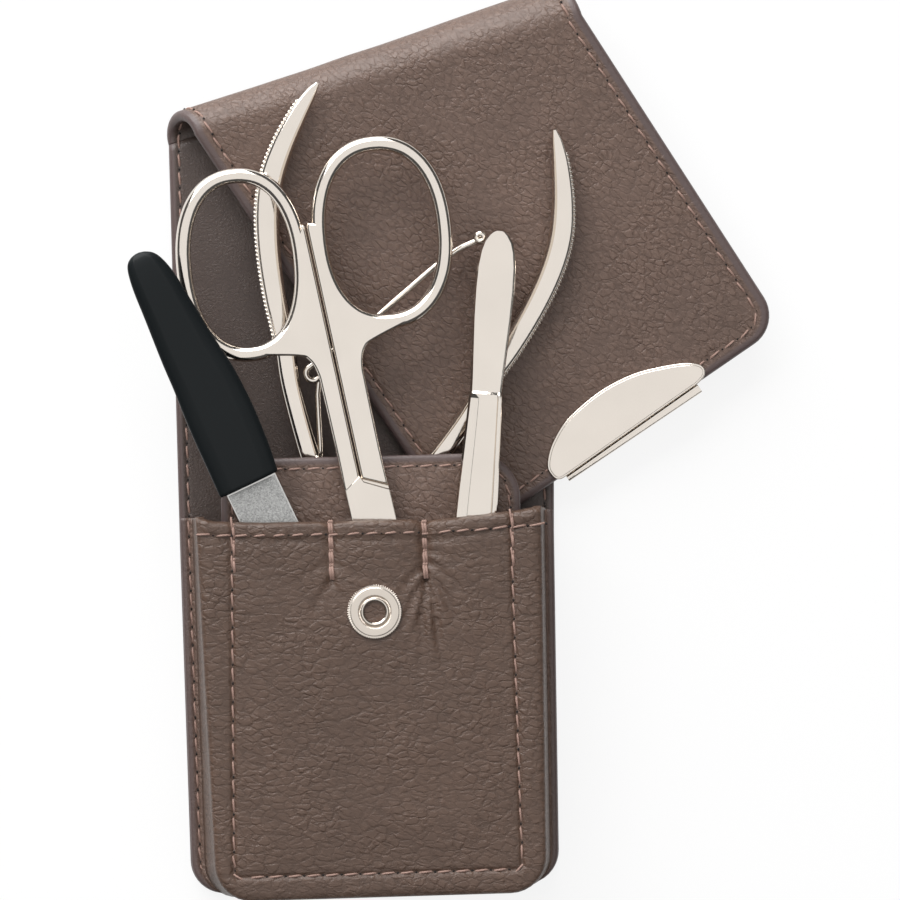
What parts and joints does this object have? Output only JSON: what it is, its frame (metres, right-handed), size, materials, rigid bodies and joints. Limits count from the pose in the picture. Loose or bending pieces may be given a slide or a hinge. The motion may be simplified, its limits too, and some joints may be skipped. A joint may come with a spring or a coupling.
{
  "type": "manicure set case",
  "caption": "Open leather manicure case with press-stud flap and half-moon plate, holding file, scissors, tweezers and nippers that slide out and work.",
  "frame": {"origin": "on the back face, under the axis of the press-stud socket", "axes": "+Z from the back to the front of the pouch, +Y from the pouch to the fold, +X to the right seen from the front"},
  "size_m": [0.1142, 0.1621, 0.024],
  "materials": {
    "leather": "pebbled, satin",
    "lining": "smooth, matt",
    "nickel": "polished nickel",
    "black_plastic": "satin black",
    "file_steel": "ground steel",
    "abrasive": "fine sparkling grit"
  },
  "bodies": {
    "case": {"back_panel": "leather", "back_lining": "lining", "gusset": "leather", "inner_panel": "leather", "divider_tacks": "leather", "front_panel": "leather", "front_lining": "lining", "socket_flange": "nickel", "socket_spring": "nickel", "socket_post": "nickel", "socket_washer": "nickel"},
    "flap": {"upper_panel": "leather", "upper_lining": "lining", "fold_outer": "leather", "fold_lining": "lining", "flap_outer": "leather", "flap_lining": "lining", "closure_plate": "nickel", "closure_clip": "nickel", "press_stud": "nickel", "stud_rivet": "nickel"},
    "file": {"file_handle": "black_plastic", "file_blade": "file_steel", "file_abrasive_front": "abrasive", "file_abrasive_back": "abrasive"},
    "scissors": {"scissor_half_right": "nickel", "scissor_screw": "nickel"},
    "scissors_left": {"scissor_half_left": "nickel"},
    "tweezers": {"tweezer_front_arm": "nickel", "tweezer_spacer": "nickel"},
    "tweezers_rear": {"tweezer_rear_arm": "nickel"},
    "nippers": {"nipper_half_left": "nickel", "nipper_screw": "nickel", "nipper_spring_root": "nickel"},
    "nippers_right": {"nipper_half_right": "nickel"},
    "nippers_spring": {"nipper_spring_arm": "nickel"}
  },
  "joints": [
    {"name": "flap_swing", "type": "hinge", "parent": "case", "child": "flap", "pos_m": [0, 0.013, 0], "axis": [-1, 0, 0], "range_deg": [0, 150]},
    {"name": "file_slide", "type": "slide", "parent": "case", "child": "file", "axis": [-0.4068, 0.9094, 0.0872], "range_m": [-0.003, 0.045]},
    {"name": "scissors_slide", "type": "slide", "parent": "case", "child": "scissors", "axis": [-0.1907, 0.981, 0.0349], "range_m": [-0.003, 0.032]},
    {"name": "scissors_pivot", "type": "hinge", "parent": "scissors", "child": "scissors_left", "pos_m": [0.00118, 0.01229, 0.0159], "axis": [0.0067, -0.0343, 0.9994], "range_deg": [0, 10]},
    {"name": "tweezers_slide", "type": "slide", "parent": "case", "child": "tweezers", "axis": [0.108, 0.9941, 0.0105], "range_m": [-0.005, 0.04]},
    {"name": "tweezers_squeeze", "type": "hinge", "parent": "tweezers", "child": "tweezers_rear", "pos_m": [0.02294, 0.05816, 0.01654], "axis": [-0.9942, 0.108, 0], "range_deg": [0, 1.4], "stiffness_Nm_per_rad": 0.8},
    {"name": "nippers_slide", "type": "slide", "parent": "case", "child": "nippers", "axis": [0.2119, 0.9717, 0.1045], "range_m": [-0.003, 0.016]},
    {"name": "nippers_pivot", "type": "hinge", "parent": "nippers", "child": "nippers_right", "pos_m": [-0.0039, 0.01, 0.0062], "axis": [-0.0223, -0.1021, 0.9945], "range_deg": [0, 18]},
    {"name": "spring_flex", "type": "hinge", "parent": "nippers", "child": "nippers_spring", "pos_m": [-0.00953, 0.04238, 0.0094], "axis": [-0.0223, -0.1021, 0.9945], "range_deg": [0, 22]}
  ],
  "couplings": [
    {"joint": "spring_flex", "follows": "nippers_pivot", "ratio": 1.2222}
  ]
}
